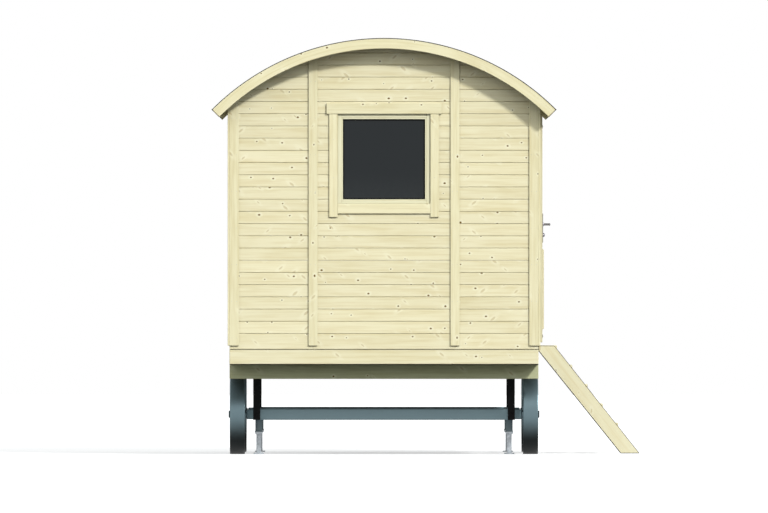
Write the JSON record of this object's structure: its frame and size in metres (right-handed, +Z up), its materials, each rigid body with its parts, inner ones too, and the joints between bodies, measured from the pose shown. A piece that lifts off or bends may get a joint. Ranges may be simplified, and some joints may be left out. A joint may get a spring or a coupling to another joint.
{
  "type": "shepherds hut",
  "caption": "Timber shepherd's hut: boarded cabin with barrel roof, end windows and side door, on a wheeled chassis with steel axles, corner jacks and wooden steps.",
  "frame": {"origin": "on the ground, in the middle of the footprint's bounding box with the steps included", "axes": "+X across the hut towards the door and steps, +Y along the hut from the pictured window end, +Z up"},
  "size_m": [3.3348, 3.9, 3.2358],
  "materials": {
    "pine_boards": "planed, clear oiled",
    "pine_trim": "planed, clear oiled",
    "pine_beams": "sawn, clear oiled",
    "roof_felt": "matte",
    "window_glass": "clear",
    "blue_grey_steel": "satin",
    "black_steel": "satin",
    "jack_tube_steel": "satin",
    "galvanised_steel": "galvanised",
    "lock_steel": "satin"
  },
  "bodies": {
    "hut": {"front_wall_left": "pine_boards", "front_wall_middle": "pine_boards", "front_wall_right": "pine_boards", "rear_wall_left": "pine_boards", "rear_wall_middle": "pine_boards", "rear_wall_right": "pine_boards", "left_wall": "pine_boards", "right_wall_front": "pine_boards", "right_wall_rear": "pine_boards", "right_wall_over_door": "pine_boards", "floor_boards": "pine_boards", "roof_deck": "pine_boards", "front_cover_boards": "pine_trim", "rear_cover_boards": "pine_trim", "left_cover_boards": "pine_trim", "right_cover_boards": "pine_trim", "window_casings": "pine_trim", "window_sashes": "pine_trim", "door_frame": "pine_trim", "door_sill": "pine_trim", "roof_fascias": "pine_trim", "roof_ribs": "pine_trim", "step_stringers": "pine_trim", "step_treads": "pine_trim", "chassis_bearers": "pine_beams", "end_beams": "pine_beams", "side_beams": "pine_beams", "floor_joists": "pine_beams", "roof_felt": "roof_felt", "window_panes": "window_glass", "axles": "blue_grey_steel", "axle_collars": "blue_grey_steel", "axle_hangers": "black_steel", "hinge_pintles": "black_steel", "jack_tubes": "jack_tube_steel"},
    "door": {"door_leaf": "pine_boards", "door_panel": "pine_boards", "door_straps": "black_steel", "lock_plates": "lock_steel"},
    "lever": {"door_lever": "lock_steel"},
    "front_left_wheel": {"front_left_wheel": "blue_grey_steel"},
    "front_left_jack": {"front_left_jack_leg": "galvanised_steel"},
    "front_right_wheel": {"front_right_wheel": "blue_grey_steel"},
    "front_right_jack": {"front_right_jack_leg": "galvanised_steel"},
    "rear_left_wheel": {"rear_left_wheel": "blue_grey_steel"},
    "rear_left_jack": {"rear_left_jack_leg": "galvanised_steel"},
    "rear_right_wheel": {"rear_right_wheel": "blue_grey_steel"},
    "rear_right_jack": {"rear_right_jack_leg": "galvanised_steel"}
  },
  "joints": [
    {"name": "door_hinge", "type": "hinge", "parent": "hut", "child": "door", "pos_m": [0.90135, 0.404, 1.79], "axis": [0, 0, 1], "range_deg": [0, 110]},
    {"name": "lever_turn", "type": "hinge", "parent": "door", "child": "lever", "pos_m": [0.90735, -0.33, 1.79], "axis": [-1, 0, 0], "range_deg": [0, 40], "stiffness_Nm_per_rad": 2, "springref_deg": -28.65},
    {"name": "front_left_wheel_spin", "type": "hinge", "parent": "hut", "child": "front_left_wheel", "pos_m": [-1.47315, -1.1, 0.31], "axis": [1, 0, 0], "continuous": true},
    {"name": "front_right_wheel_spin", "type": "hinge", "parent": "hut", "child": "front_right_wheel", "pos_m": [0.80985, -1.1, 0.31], "axis": [1, 0, 0], "continuous": true},
    {"name": "rear_left_wheel_spin", "type": "hinge", "parent": "hut", "child": "rear_left_wheel", "pos_m": [-1.47315, 1.1, 0.31], "axis": [1, 0, 0], "continuous": true},
    {"name": "rear_right_wheel_spin", "type": "hinge", "parent": "hut", "child": "rear_right_wheel", "pos_m": [0.80985, 1.1, 0.31], "axis": [1, 0, 0], "continuous": true},
    {"name": "front_left_jack_slide", "type": "slide", "parent": "hut", "child": "front_left_jack", "axis": [0, 0, 1], "range_m": [0, 0.12]},
    {"name": "front_right_jack_slide", "type": "slide", "parent": "hut", "child": "front_right_jack", "axis": [0, 0, 1], "range_m": [0, 0.12]},
    {"name": "rear_left_jack_slide", "type": "slide", "parent": "hut", "child": "rear_left_jack", "axis": [0, 0, 1], "range_m": [0, 0.12]},
    {"name": "rear_right_jack_slide", "type": "slide", "parent": "hut", "child": "rear_right_jack", "axis": [0, 0, 1], "range_m": [0, 0.12]}
  ]
}
